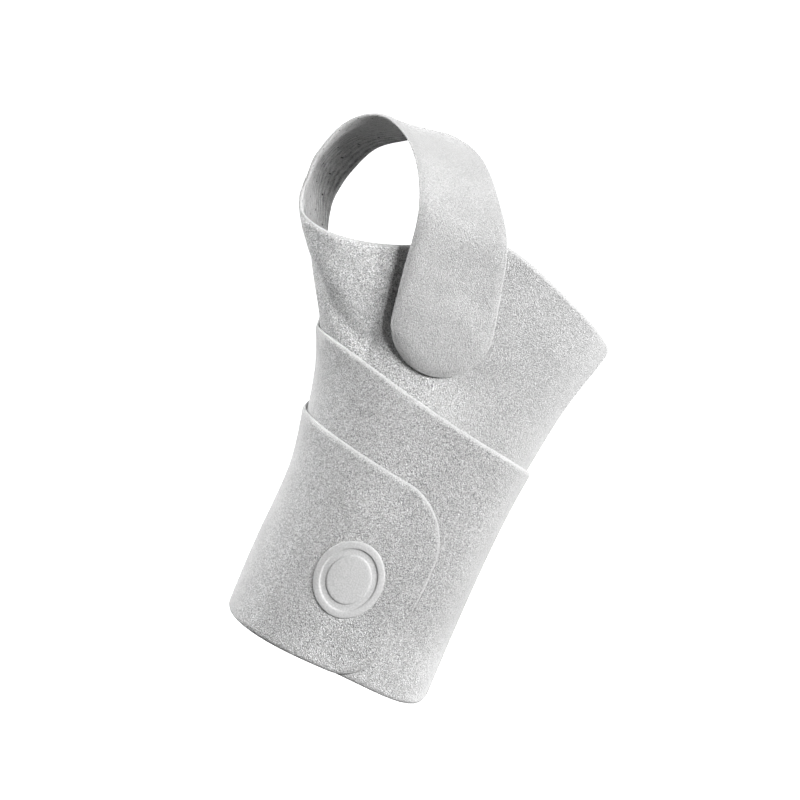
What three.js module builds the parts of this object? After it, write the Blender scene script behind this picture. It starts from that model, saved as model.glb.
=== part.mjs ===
// Wrist brace: one long cloth sheet wound two and a half turns round the wrist, with a thumb
// strap that grows out of its top and is pressed down on the front.
// Millimetres. Z runs along the forearm towards the hand, X to the right across the front,
// Y away from the front. A wrap angle of 0 is the middle of the front, 90 the right side,
// 180 the back; it keeps growing from turn to turn as the cloth winds outwards.
import * as THREE from 'three';

const { clamp, degToRad: radians, lerp, smoothstep } = THREE.MathUtils;

// Sheet
const sheetThickness = 1.4;
const layerGap = 0.3;
const turnStep = sheetThickness + layerGap;
const edgeBevel = 1.0;
const edgeThinning = 0.45;

// Worn form: half width and half depth of the wrist, and the height of the hand panel
const wristHalfWidth = 32;
const wristHalfDepth = 21.6;
const panelHeight = 160;
const lowerDip = 3.5;

// Where the sheet starts and ends, as wrap angles in degrees
const startAngle = -131;
const thumbEdgeAngle = -77;
const thumbBackAngle = -125;
const filletAngle = 17;
const backJoinAngle = 150;
const tabCornerAngle = 724;
const tabEndAngle = 754.5;
const columnStep = 6;

// Rounded corners: the thumb edge above the panel, and the straight middle of the tab's end
const filletHeight = 9.8;
const tabEndTop = 47;
const tabEndBottom = 33;

// Thumb strap
const strapWidth = 34;
const strapRootDrop = 10.5;
const strapRowStep = 3.4;
const strapLift = 2.4;

// Fastening patches and the raised badge
const hookThickness = 0.5;
const hookRaise = hookThickness + layerGap;
const tabHookWidth = 24.5;
const tabHookHeight = 36;
const tabHookInset = 8.5;
const strapHookRadius = 9.5;
const badgeWidth = 25;
const badgeHeight = 28;

// Cross-sections of the worn form, from the lower edge to the thumb. The centre is shifted to
// the thumb side and to the back as the hand spreads. The squareness is 2 for an ellipse, and
// thumbBack is added to it where the back meets the thumb side.
const sections = table({
  height: panelHeight, shiftX: wristHalfWidth, shiftY: wristHalfDepth, halfWidth: wristHalfWidth,
  halfDepth: wristHalfDepth, leftSquare: 1, rightSquare: 1, thumbBack: 1,
}, [
  [-0.06, 0.01, 0.0, 1.0, 1.0, 2.3, 2.6, 0],
  [0.19, 0.01, 0.0, 1.0, 1.0, 2.3, 2.6, 0],
  [0.36, 0.025, 0.005, 1.01, 1.01, 2.3, 2.5, 0],
  [0.47, -0.005, 0.025, 1.08, 1.03, 2.3, 2.4, 0],
  [0.575, -0.035, 0.055, 1.175, 1.075, 2.3, 2.3, 0.2],
  [0.65, -0.085, 0.095, 1.28, 1.135, 2.4, 2.2, 0.6],
  [0.73, -0.155, 0.15, 1.44, 1.205, 2.6, 2.2, 1.2],
  [0.81, -0.245, 0.185, 1.635, 1.25, 2.8, 2.2, 1.5],
  [0.86, -0.31, 0.21, 1.735, 1.275, 3.0, 2.2, 1.5],
  [0.925, -0.34, 0.215, 1.76, 1.28, 3.0, 2.2, 1.4],
  [1.075, -0.31, 0.215, 1.75, 1.28, 3.0, 2.2, 1.4],
]);

// Upper cut edge of the sheet, turn by turn: hand panel, right side, back, second turn, tab
const upperEdge = table({ angle: 1, height: panelHeight }, [
  [-60, 0.864], [-45, 0.865], [-25, 0.894], [-14, 0.925], [-3, 0.967], [9, 0.994],
  [20, 0.985], [32, 0.956], [52, 0.901], [66, 0.865], [90, 0.822], [120, 0.79],
  [150, 0.756], [180, 0.725], [210, 0.694], [240, 0.666], [270, 0.647], [300, 0.654],
  [323, 0.648], [351, 0.62], [388, 0.583], [424, 0.544], [450, 0.519], [495, 0.5],
  [560, 0.481], [630, 0.47], [665, 0.472], [696, 0.461], [724, 0.444],
]);

// The edge the sheet starts with, at the back of the thumb side: it runs straight on from the
// far edge of the thumb strap and ends under the second turn.
const startEdge = table({ height: panelHeight, angle: 1 }, [
  [0, -117], [0.625, -118], [0.69, -120], [0.74, -122.6], [0.78, -126], [0.81, -129.8],
  [0.86, -135.5], [0.91, -140],
]);

// Lower cut edge, a little lower where it passes the right side
const lowerEdge = table({ angle: 1, height: lowerDip }, [
  [-134, 0.17], [0, 0.17], [40, -0.23], [75, -0.69], [120, -0.17], [180, 0.06], [345, 0.0],
  [383, -0.29], [411, -0.89], [435, -1.0], [470, -0.46], [540, 0.0], [724, 0.0],
]);

// Thumb strap, one row per station from above its root to its tip: the middle of the strap, and
// the way and width from the edge near the hand panel to the far edge
const strapStations = table({
  x: wristHalfWidth, y: wristHalfDepth, z: panelHeight, heading: 1, tilt: 1, width: strapWidth,
}, [
  [-1.91, 0.56, 0.958, 67, -17, 0.975],
  [-1.763, 0.428, 1.036, 67, -21, 1.01],
  [-1.522, 0.208, 1.084, 66.5, -21.5, 1.0],
  [-1.178, -0.17, 1.118, 58, -7, 0.92],
  [-0.864, -0.6, 1.11, 45, 0, 0.93],
  [-0.606, -1.023, 1.065, 30, 2.5, 0.9],
  [-0.414, -1.315, 1.004, 12, 6, 0.93],
  [-0.322, -1.269, 0.923, 8, 6, 0.985],
  [-0.227, -1.192, 0.798, 6, 9, 1.0],
  [-0.131, -1.06, 0.6775, 0, 9.5, 1.0],
]);

// Relief of the raised badge: share of its radius against height over its base
const badgeRelief = 0.72;
const badgeProfile = table({ share: 1, height: badgeRelief }, [
  [0.0, 0.86], [0.5, 0.84], [0.6, 0.5], [0.78, 0.5], [0.86, 1.0], [0.94, 1.0], [1.0, 0.42],
]);

// Rows hold shares of the size that each named column follows.
function table(columns, shares) {
  const names = Object.keys(columns);
  return chart(names, shares.map((row) => row.map((share, c) => share * columns[names[c]])));
}

// A smooth curve through the rows of each column: its slopes are chosen so that the bend is
// steady through every row and none at the two ends.
function chart(names, rows) {
  const last = rows.length - 1;
  const span = (i) => rows[i + 1][0] - rows[i][0];
  const slopes = rows.map(() => [1]);
  for (let c = 1; c < names.length; c += 1) {
    const rise = (i) => (rows[i + 1][c] - rows[i][c]) / span(i);
    const pull = [0.5];
    const sum = [1.5 * rise(0)];
    for (let i = 1; i <= last; i += 1) {
      const [a, b, goal] = i < last
        ? [span(i), span(i - 1), 3 * (span(i) * rise(i - 1) + span(i - 1) * rise(i))]
        : [1, 0, 3 * rise(last - 1)];
      const held = (i < last ? 2 * (a + b) : 2) - a * pull[i - 1];
      pull.push(b / held);
      sum.push((goal - a * sum[i - 1]) / held);
    }
    slopes[last][c] = sum[last];
    for (let i = last - 1; i >= 0; i -= 1) slopes[i][c] = sum[i] - pull[i] * slopes[i + 1][c];
  }
  return { names, rows, slopes };
}

// Reads a chart at a value of its first column.
function read({ names, rows, slopes }, at) {
  const last = rows.length - 1;
  const x = clamp(at, rows[0][0], rows[last][0]);
  let i = 0;
  while (i < last - 1 && x >= rows[i + 1][0]) i += 1;
  const span = rows[i + 1][0] - rows[i][0];
  const s = (x - rows[i][0]) / span;
  const result = {};
  for (let c = 1; c < names.length; c += 1) {
    const [from, to] = [slopes[i][c] * span, slopes[i + 1][c] * span];
    result[names[c]] = hermite(rows[i][c], from, rows[i + 1][c], to, s);
  }
  return result;
}

function hermite(a, slopeA, b, slopeB, s) {
  const r = 1 - s;
  return a * (1 + 2 * s) * r * r + slopeA * s * r * r + b * s * s * (3 - 2 * s) - slopeB * s * s * r;
}

// Degrees of wrap angle that a length takes up at the front of the outer turn.
function degreesOf(length) {
  return length / (radians(1) * (wristHalfWidth + 3 * turnStep));
}

const filletEndAngle = thumbEdgeAngle + filletAngle;
const thumbEdgeHeight = read(upperEdge, filletEndAngle).height + filletHeight;
const tabHeight = read(upperEdge, tabCornerAngle).height;
const tabHook = {
  angle: tabEndAngle - degreesOf(tabHookInset + tabHookWidth / 2),
  height: tabHeight / 2,
  halfAngle: degreesOf(tabHookWidth / 2),
  halfHeight: tabHookHeight / 2,
};
const badge = { angle: tabHook.angle - degreesOf(tabHookWidth / 5), height: tabHeight * 0.46 };

// Inside face of the first turn, before any winding.
function formPoint(angle, height) {
  const section = read(sections, height);
  const sine = Math.sin(radians(angle));
  const cosine = Math.cos(radians(angle));
  const middle = (section.leftSquare + section.rightSquare) / 2;
  const turned = Math.max(0, Math.cos(radians(angle - thumbBackAngle)));
  const square = middle + ((section.rightSquare - section.leftSquare) / 2) * sine
    + section.thumbBack * turned * turned;
  const reach = (Math.abs(sine) ** square + Math.abs(cosine) ** square) ** (-1 / square);
  return new THREE.Vector3(
    section.shiftX + section.halfWidth * reach * sine,
    section.shiftY - section.halfDepth * reach * cosine,
    height,
  );
}

function formNormal(angle, height) {
  const around = formPoint(angle + 0.5, height).sub(formPoint(angle - 0.5, height));
  const up = formPoint(angle, height + 0.5).sub(formPoint(angle, height - 0.5));
  return around.cross(up).normalize();
}

// 1 inside a half span, falling smoothly to 0 over the given ramp beyond it.
function plateau(distance, half, ramp) {
  return 1 - smoothstep(Math.abs(distance), half, half + ramp);
}

// How far the middle of the sheet stands off the form: it winds outwards by one step a turn,
// and bulges a little over the hook patch under the tab.
function sheetOffset(angle, height) {
  const wound = (turnStep * (angle - startAngle)) / 360 + sheetThickness / 2;
  const across = plateau(angle - tabHook.angle, tabHook.halfAngle + 1, 9);
  const along = plateau(height - tabHook.height, tabHook.halfHeight + 1, 11);
  return wound + hookRaise * across * along;
}

function sheetPoint(angle, height, raise = 0) {
  const offset = sheetOffset(angle, height) + raise;
  return formPoint(angle, height).addScaledVector(formNormal(angle, height), offset);
}

// Share of a rounded corner's height that is left at a share of its width.
function cornerDrop(share, fullness) {
  return (1 - clamp(share, 0, 1) ** fullness) ** (1 / fullness);
}

// Wrap angle at a share of the way from the starting edge to the thumb edge.
function rootAngle(share, height) {
  return lerp(read(startEdge, height).angle, thumbEdgeAngle, share);
}

function rootTop(share) {
  return thumbEdgeHeight - strapRootDrop * (1 - share);
}

function topOf(angle) {
  if (angle < filletEndAngle) {
    const share = (filletEndAngle - angle) / filletAngle;
    return thumbEdgeHeight - filletHeight * cornerDrop(share, 2);
  }
  if (angle > tabCornerAngle) {
    const share = (angle - tabCornerAngle) / (tabEndAngle - tabCornerAngle);
    return tabEndTop + (tabHeight - tabEndTop) * cornerDrop(share, 1.8);
  }
  return read(upperEdge, angle).height;
}

function bottomOf(angle) {
  if (angle <= tabCornerAngle) return read(lowerEdge, angle).height;
  const share = (angle - tabCornerAngle) / (tabEndAngle - tabCornerAngle);
  return tabEndBottom * (1 - cornerDrop(share, 2.2));
}

// How far a row that runs one bevel inside the cut edge lies above or below that edge.
function bevelDrop(edge, angle) {
  const slope = (edge(angle + 0.2) - edge(angle - 0.2)) / (0.4 * radians(1) * wristHalfWidth);
  return edgeBevel * Math.min(Math.hypot(1, slope), 4.5);
}

// Heights of the rows of one column, closer together towards the flare. A column of the strap's
// root has a share, and goes on into the strap.
function columnHeights({ angle, share }, rows) {
  const low = bottomOf(angle);
  const high = share === undefined ? topOf(angle) : rootTop(share);
  const first = low + bevelDrop(bottomOf, angle);
  const last = high - (share === undefined ? bevelDrop(topOf, angle) : edgeBevel);
  const heights = [low];
  for (let j = 0; j <= rows - 2; j += 1) {
    const rise = 1 - (1 - j / (rows - 2)) ** 1.3;
    heights.push(first + (last - first) * rise);
  }
  heights.push(high);
  return heights;
}

// A closed solid from a patchwork of quads with an inner and an outer point at each corner.
// Quads run anticlockwise seen from outside; every edge used once gets a wall.
class ClothSolid {
  constructor() {
    this.inner = [];
    this.outer = [];
    this.quads = [];
  }

  add(inner, outer) {
    this.inner.push(inner);
    this.outer.push(outer);
    return this.inner.length - 1;
  }

  addGrid(grid) {
    for (let i = 0; i + 1 < grid.length; i += 1) {
      for (let j = 0; j + 1 < grid[i].length; j += 1) {
        this.quads.push([grid[i][j], grid[i + 1][j], grid[i + 1][j + 1], grid[i][j + 1]]);
      }
    }
  }

  geometry() {
    const count = this.inner.length;
    const positions = [...this.outer, ...this.inner].flatMap((p) => [p.x, p.y, p.z]);
    const index = [];
    const borders = new Map();
    for (const quad of this.quads) {
      const corners = quad.filter((v, n) => v !== quad[(n + 3) % quad.length]);
      for (let n = 1; n + 1 < corners.length; n += 1) {
        const [a, b, c] = [corners[0], corners[n], corners[n + 1]];
        index.push(a, b, c, count + a, count + c, count + b);
      }
      corners.forEach((a, n) => {
        const b = corners[(n + 1) % corners.length];
        if (borders.has(`${b},${a}`)) borders.delete(`${b},${a}`);
        else borders.set(`${a},${b}`, [a, b]);
      });
    }
    for (const [a, b] of borders.values()) {
      index.push(b, a, count + a, b, count + a, count + b);
    }
    const result = new THREE.BufferGeometry();
    result.setAttribute('position', new THREE.Float32BufferAttribute(positions, 3));
    result.setIndex(index);
    result.computeVertexNormals();
    return result;
  }
}

// Adds one corner of cloth: full thickness inside, thinned from the outer face at a cut edge.
function addClothPoint(solid, middle, normal, isCutEdge) {
  const half = sheetThickness / 2;
  const outward = isCutEdge ? half - edgeThinning * sheetThickness : half;
  const inner = middle.clone().addScaledVector(normal, -half);
  const outer = middle.clone().addScaledVector(normal, outward);
  return solid.add(inner, outer);
}

// Columns of the wound sheet as lists of corner numbers, from the lower to the upper edge.
function windSheet(solid, columns, rows, isCut) {
  return columns.map((column, i) => columnHeights(column, rows).map((height, j) => {
    const angle = column.share === undefined ? column.angle : rootAngle(column.share, height);
    const middle = sheetPoint(angle, height);
    const around = sheetPoint(angle + 0.5, height).sub(sheetPoint(angle - 0.5, height));
    const up = sheetPoint(angle, height + 0.5).sub(sheetPoint(angle, height - 0.5));
    return addClothPoint(solid, middle, around.cross(up).normalize(), isCut(i, j));
  }));
}

function anglesBetween(from, to) {
  const angles = [];
  const first = Math.floor(from / columnStep) * columnStep + columnStep;
  for (let angle = first; angle < to - columnStep / 3; angle += columnStep) {
    if (angle > from + columnStep / 3) angles.push(angle);
  }
  return angles;
}

// Outer face of the hand panel in front of a point: how far back it lies there.
function panelDepth(x, z) {
  let low = -85;
  let high = 85;
  for (let n = 0; n < 24; n += 1) {
    const middle = (low + high) / 2;
    if (sheetPoint(middle, z, sheetThickness / 2).x < x) low = middle;
    else high = middle;
  }
  return sheetPoint((low + high) / 2, z, sheetThickness / 2).y;
}

// The strap's stations as points on its edges, with the distance along it of each one.
function layStrap() {
  const onSheet = (share) => sheetPoint(rootAngle(share, rootTop(share)), rootTop(share));
  let before = onSheet(0.5);
  let along = 0;
  const rows = strapStations.rows.map(([x, y, z, heading, tilt, width]) => {
    const middle = new THREE.Vector3(x, y, z);
    along += middle.distanceTo(before);
    before = middle;
    const level = Math.cos(radians(tilt));
    const across = new THREE.Vector3(
      level * Math.cos(radians(heading)), level * Math.sin(radians(heading)), Math.sin(radians(tilt)),
    ).multiplyScalar(width / 2);
    const near = middle.clone().sub(across);
    const far = middle.clone().add(across);
    return [along, near.x, near.y, near.z, far.x, far.y, far.z];
  });
  return chart('along nearX nearY nearZ farX farY farZ'.split(' '), rows);
}

const strapCourse = layStrap();
const strapLength = strapCourse.rows.at(-1)[0];
const strapEndRadius = 0.53 * strapWidth;
const strapDiscStart = strapLength - strapEndRadius;
const strapHook = read(strapCourse, strapDiscStart + 0.15 * strapEndRadius);
strapHook.x = (strapHook.nearX + strapHook.farX) / 2;
strapHook.z = (strapHook.nearZ + strapHook.farZ) / 2;

// Middle of the strap at a distance along it and a share across it from far to near edge.
function strapPoint(along, across) {
  const first = strapCourse.rows[0];
  if (along >= first[0]) {
    const at = read(strapCourse, along);
    return pressOnPanel(new THREE.Vector3(
      lerp(at.farX, at.nearX, across),
      lerp(at.farY, at.nearY, across),
      lerp(at.farZ, at.nearZ, across),
    ), along);
  }
  const root = rootTop(across);
  const onSheet = (height) => sheetPoint(rootAngle(across, height), height);
  const onRow = (row) => new THREE.Vector3(
    lerp(row[4], row[1], across), lerp(row[5], row[2], across), lerp(row[6], row[3], across),
  );
  const start = onSheet(root);
  const startSlope = onSheet(root + 0.5).sub(onSheet(root - 0.5));
  const end = onRow(first);
  const second = strapCourse.rows[1];
  const endSlope = onRow(second).sub(end).divideScalar(second[0] - first[0]);
  const s = along / first[0];
  const blend = (axis) => hermite(
    start[axis], startSlope[axis] * first[0], end[axis], endSlope[axis] * first[0], s,
  );
  return new THREE.Vector3(blend('x'), blend('y'), blend('z'));
}

// Keeps the strap's end a small gap in front of the hand panel, with room for its hook patch.
// The edge near the thumb stands off the panel, more and more up the strap.
function pressOnPanel(point, along) {
  const share = along / strapLength;
  if (share < 0.62) return point;
  const fade = smoothstep(share, 0.62, 0.71);
  const off = Math.hypot(point.x - strapHook.x, point.z - strapHook.z);
  const left = (strapHook.x - point.x) / strapWidth;
  const above = (point.z - strapHook.z) / strapWidth;
  const lift = strapLift * smoothstep(left, 0.06, 0.5) * smoothstep(above, -0.53, 0.06)
    * (1 + 0.85 * Math.max(0, above));
  const pressed = (hookRaise + 0.1) * plateau(off, strapHookRadius + 0.5, 6.5);
  const room = layerGap + 0.1 + pressed + lift;
  const limit = panelDepth(point.x, point.z) - room - sheetThickness / 2;
  const over = point.y - limit;
  point.y -= ((over + Math.hypot(over, 0.5)) / 2) * fade;
  return point;
}

// Flat place of a corner of the strap: rectangular up to the round end, then over a half disc
// whose far rim is the last row.
function strapPlace(across, row) {
  if (row.along !== undefined) return { across, along: row.along };
  const r = row.end;
  const rim = (turn) => ({
    across: 0.5 - Math.cos(radians(turn)) / 2,
    along: strapDiscStart + strapEndRadius * Math.sin(radians(turn)),
  });
  const [far, near, end] = [rim(45 * r), rim(180 - 45 * r), rim(45 + 90 * across)];
  const [farEnd, nearEnd] = [rim(45), rim(135)];
  const blend = (key, base, baseFar, baseNear) => (1 - r) * base + r * end[key]
    + (1 - across) * far[key] + across * near[key]
    - (1 - r) * ((1 - across) * baseFar + across * baseNear)
    - r * ((1 - across) * farEnd[key] + across * nearEnd[key]);
  return {
    across: blend('across', across, 0, 1),
    along: blend('along', strapDiscStart, strapDiscStart, strapDiscStart),
  };
}

function strapNormal(across, along) {
  const a = clamp(across, 0.02, 0.98);
  const l = Math.max(along, 0.4);
  const side = strapPoint(l, a + 0.02).sub(strapPoint(l, a - 0.02));
  const ahead = strapPoint(l + 0.4, a).sub(strapPoint(l - 0.4, a));
  return side.cross(ahead).normalize();
}

// Hand panel with the thumb strap: a first turn from the thumb side to the back, and the strap
// that goes on from its top between the starting edge and the thumb edge.
function buildHandWrap() {
  const solid = new ClothSolid();
  const rows = 15;
  const shares = [0, 0.035, 0.2, 0.4, 0.6, 0.8, 0.965, 1];
  const rootColumns = shares.map((share) => ({ share, angle: rootAngle(share, 0) }));
  const filletAngles = [22.5, 45, 67.5, 90]
    .map((turn) => thumbEdgeAngle + filletAngle * (1 - Math.cos(radians(turn))));
  const panelAngles = anglesBetween(thumbEdgeAngle + filletAngle, backJoinAngle);
  const bevelAngle = edgeBevel / (radians(1) * wristHalfWidth);
  const free = [...filletAngles, ...panelAngles, backJoinAngle - bevelAngle, backJoinAngle];
  const columns = [...rootColumns, ...free.map((angle) => ({ angle }))];
  const rootLast = shares.length - 1;
  const isCut = (i, j) => j === 0 || i === 0 || i === columns.length - 1
    || (j === rows && i >= rootLast);
  const sheet = windSheet(solid, columns, rows, isCut);
  solid.addGrid(sheet);

  const straight = Math.round(strapDiscStart / strapRowStep);
  const rowPlaces = [];
  for (let m = 1; m <= straight; m += 1) rowPlaces.push({ along: (strapDiscStart * m) / straight });
  for (const share of [0.25, 0.5, 0.75, 0.93, 1]) rowPlaces.push({ end: share });
  const strap = shares.map((share, k) => {
    const column = [sheet[k][rows]];
    rowPlaces.forEach((row, m) => {
      const place = strapPlace(share, row);
      const isEdge = k === 0 || k === rootLast || m === rowPlaces.length - 1;
      const middle = strapPoint(place.along, place.across);
      column.push(addClothPoint(solid, middle, strapNormal(place.across, place.along), isEdge));
    });
    return column;
  });
  solid.addGrid(strap);
  return solid.geometry();
}

// Wrist strap: goes on from the back of the hand panel, once round and on to the front tab.
function buildWristStrap() {
  const solid = new ClothSolid();
  const rows = 12;
  const bevelAngle = edgeBevel / (radians(1) * wristHalfWidth);
  const start = backJoinAngle + layerGap / (radians(1) * 0.8 * wristHalfWidth);
  const corner = [0, 12, 24, 36, 48, 60, 71.5, 90]
    .map((turn) => tabCornerAngle + (tabEndAngle - tabCornerAngle) * Math.sin(radians(turn)));
  const inset = start + bevelAngle;
  const angles = [start, inset, ...anglesBetween(inset, tabCornerAngle), ...corner];
  const isCut = (i, j) => j === 0 || j === rows || i === 0 || i === angles.length - 1;
  solid.addGrid(windSheet(solid, angles.map((angle) => ({ angle })), rows, isCut));
  return solid.geometry();
}

// Raised oval badge that follows the tab, with a rim round a plain raised middle.
function buildBadge() {
  const solid = new ClothSolid();
  const segments = 36;
  const place = (turn, share, raise) => {
    const up = (badgeHeight / 2) * share * Math.sin(turn);
    const side = (badgeWidth / 2) * share * Math.cos(turn);
    const angle = badge.angle + degreesOf(side);
    const height = badge.height + up;
    return sheetPoint(angle, height, sheetThickness / 2 + layerGap + raise);
  };
  const rings = badgeProfile.rows;
  const hub = solid.add(place(0, 0, 0), place(0, 0, rings[0][1]));
  const grid = [];
  for (let n = 0; n < segments; n += 1) {
    const turn = (2 * Math.PI * n) / segments;
    grid.push(rings.map(([share, raise], r) => (
      r === 0 ? hub : solid.add(place(turn, share, 0), place(turn, share, raise)))));
  }
  grid.push(grid[0]);
  solid.addGrid(grid.reverse());
  return solid.geometry();
}

// Hook patch under the tab, a plain rounded rectangle between the tab and the turn below it.
function buildTabHook() {
  const solid = new ClothSolid();
  const below = 360;
  const radius = 0.25;
  const grid = [];
  for (let i = 0; i <= 10; i += 1) {
    const side = Math.sin(radians(-90 + 18 * i));
    const corner = Math.max(0, (Math.abs(side) - (1 - radius)) / radius);
    const half = tabHook.halfHeight * (1 - radius * (1 - Math.sqrt(1 - corner * corner)));
    const angle = tabHook.angle + tabHook.halfAngle * side;
    const column = [];
    for (let j = 0; j <= 8; j += 1) {
      const height = tabHook.height + half * (j / 4 - 1);
      const base = sheetPoint(angle - below, height, sheetThickness / 2 + layerGap);
      const top = sheetPoint(angle - below, height, sheetThickness / 2 + layerGap + hookThickness);
      column.push(solid.add(base, top));
    }
    grid.push(column);
  }
  solid.addGrid(grid);
  return solid.geometry();
}

// Hook patch under the round end of the thumb strap, a plain disc that follows the hand panel.
function buildStrapHook() {
  const solid = new ClothSolid();
  const segments = 28;
  const place = (turn, share, raise) => {
    const x = strapHook.x + strapHookRadius * share * Math.cos(turn);
    const z = strapHook.z + strapHookRadius * share * Math.sin(turn);
    return new THREE.Vector3(x, panelDepth(x, z) - layerGap - 0.04 - raise, z);
  };
  const hub = solid.add(place(0, 0, 0), place(0, 0, hookThickness));
  const grid = [];
  for (let n = 0; n < segments; n += 1) {
    const turn = (2 * Math.PI * n) / segments;
    grid.push([0, 0.5, 1].map((share, r) => (
      r === 0 ? hub : solid.add(place(turn, share, 0), place(turn, share, hookThickness)))));
  }
  grid.push(grid[0]);
  solid.addGrid(grid.reverse());
  return solid.geometry();
}

function addPiece(group, name, geometry, color, roughness) {
  const material = new THREE.MeshStandardMaterial({ color, roughness, metalness: 0 });
  material.name = `${name}_material`;
  const mesh = new THREE.Mesh(geometry, material);
  mesh.name = name;
  group.add(mesh);
}

const group = new THREE.Group();
addPiece(group, 'hand_wrap', buildHandWrap(), 0xb4b4b6, 0.9);
addPiece(group, 'wrist_strap', buildWristStrap(), 0xb2b2b4, 0.9);
addPiece(group, 'badge', buildBadge(), 0xbababc, 0.6);
addPiece(group, 'tab_hook_patch', buildTabHook(), 0x8c8c8f, 0.8);
addPiece(group, 'thumb_hook_patch', buildStrapHook(), 0x8c8c8f, 0.8);

export default group;
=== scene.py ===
"""Wrist brace: one thin cloth sheet wound round the wrist, with a thumb strap closed on the front.

Lengths of the worn form are in millimetres until the meshes are written. They follow the solid
model's tables, but the strap's near edge stands off further and its root is bowed more smoothly.
Z runs along the forearm towards the hand, X to the right across the front, Y away from the front.
"""

import math

import bpy
import numpy as np
from mathutils import Matrix, Vector


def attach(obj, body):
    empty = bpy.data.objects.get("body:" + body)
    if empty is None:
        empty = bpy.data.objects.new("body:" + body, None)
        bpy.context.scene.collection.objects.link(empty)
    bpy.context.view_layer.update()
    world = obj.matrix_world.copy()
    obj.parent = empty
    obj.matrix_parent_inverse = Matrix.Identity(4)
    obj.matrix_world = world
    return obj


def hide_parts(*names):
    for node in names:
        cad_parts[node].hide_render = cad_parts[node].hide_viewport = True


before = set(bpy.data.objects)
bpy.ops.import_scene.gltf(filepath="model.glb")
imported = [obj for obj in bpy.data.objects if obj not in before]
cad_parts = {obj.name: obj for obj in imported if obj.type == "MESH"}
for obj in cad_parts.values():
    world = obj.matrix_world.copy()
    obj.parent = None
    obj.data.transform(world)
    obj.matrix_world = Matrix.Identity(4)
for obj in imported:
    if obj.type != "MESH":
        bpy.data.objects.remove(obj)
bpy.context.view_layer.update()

# Sheet
SHEET_THICKNESS = 1.4
LAYER_GAP = 0.3
TURN_STEP = SHEET_THICKNESS + LAYER_GAP
HALF_SHEET = SHEET_THICKNESS / 2
EDGE_CROWN = 0.16

# Worn form
WRIST_HALF_WIDTH = 32.0
WRIST_HALF_DEPTH = 21.6
PANEL_HEIGHT = 160.0
LOWER_DIP = 3.5
START_ANGLE = -131.0
THUMB_EDGE_ANGLE = -77.0
THUMB_BACK_ANGLE = -125.0
FILLET_ANGLE = 17.0
FILLET_HEIGHT = 9.8
TAB_CORNER_ANGLE = 724.0
TAB_END_ANGLE = 754.5
TAB_END_TOP = 47.0
TAB_END_BOTTOM = 33.0

# Thumb strap
STRAP_WIDTH = 34.0
STRAP_ROOT_DROP = 10.5
STRAP_END_RADIUS = 0.53 * STRAP_WIDTH
STRAP_LIFT = 5.4
BOW_LENGTH = 60.0

# Hook patches and badge
HOOK_RAISE = 0.5 + LAYER_GAP
TAB_HOOK_WIDTH = 24.5
TAB_HOOK_HEIGHT = 36.0
TAB_HOOK_INSET = 8.5
STRAP_HOOK_RADIUS = 9.5
BADGE_WIDTH = 25.0
BADGE_HEIGHT = 28.0

# Way round the sheet in millimetres to a degree, for the folds' places and for the lining
FOLD_SCALE = 0.62
FLAT_SCALE = 0.6

# How the sheet's flat places are spread: closer together at every cut edge
EDGE_STEPS = np.array([0.0, 0.22, 0.5, 0.85, 1.25, 1.8, 2.6])
COLUMN_ROWS = 112
SHARE_STEP = 1.5
TURN_STEP_ANGLE = 2.4
STRAP_ROWS = 92

# Studio and camera: metres and degrees, with the lens and the sensor in millimetres
BRACE_MIDDLE = (-0.01, 0.0, 0.09)
FLOOR_HEIGHT = -0.35
FLOOR_HALF_SIDE = 6.0
WORLD_STRENGTH = 0.05
LIGHT_DISTANCE = 1.3
CAMERA_TILT = 17.0
CAMERA_ROLL = 23.0
CAMERA_AIM = (-0.01045, 0.0, 0.08866)
CAMERA_LENS = 800.0
SENSOR_WIDTH = 36.0
FRAME_PIXELS = 800.0
PIXELS_PER_METRE = 3000.0


def blend(a, b, share):
    return a + (b - a) * share


def smooth(value, low, high):
    share = np.clip((value - low) / (high - low), 0.0, 1.0)
    return share * share * (3.0 - 2.0 * share)


def cubic(a, slope_a, b, slope_b, share):
    left = 1.0 - share
    return (a * (1 + 2 * share) * left ** 2 + slope_a * share * left ** 2
            + b * share ** 2 * (3 - 2 * share) - slope_b * share ** 2 * left)


class Chart:
    """Smooth curves through a table's rows, read at a value of its first column. Rows hold
    shares of the size that each column follows. The bend is steady through every row."""

    def __init__(self, sizes, shares):
        rows = np.array(shares, float) * np.array(sizes, float)
        self.at, self.values = rows[:, 0], rows[:, 1:]
        last = len(rows) - 1
        step = np.diff(self.at)
        rise = np.diff(self.values, axis=0) / step[:, None]
        held, goal = np.zeros((last + 1, last + 1)), np.zeros_like(self.values)
        held[0, :2], goal[0] = [2, 1], 3 * rise[0]
        held[last, -2:], goal[last] = [1, 2], 3 * rise[-1]
        for i in range(1, last):
            before, after = step[i - 1], step[i]
            held[i, i - 1:i + 2] = [after, 2 * (before + after), before]
            goal[i] = 3 * (after * rise[i - 1] + before * rise[i])
        self.slopes = np.linalg.solve(held, goal)

    def __call__(self, at):
        at = np.clip(at, self.at[0], self.at[-1])
        i = np.clip(np.searchsorted(self.at, at, "right") - 1, 0, len(self.at) - 2)
        span = self.at[i + 1] - self.at[i]
        share = ((at - self.at[i]) / span)[..., None]
        span = span[..., None]
        found = cubic(self.values[i], self.slopes[i] * span,
                      self.values[i + 1], self.slopes[i + 1] * span, share)
        return np.moveaxis(found, -1, 0)


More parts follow.
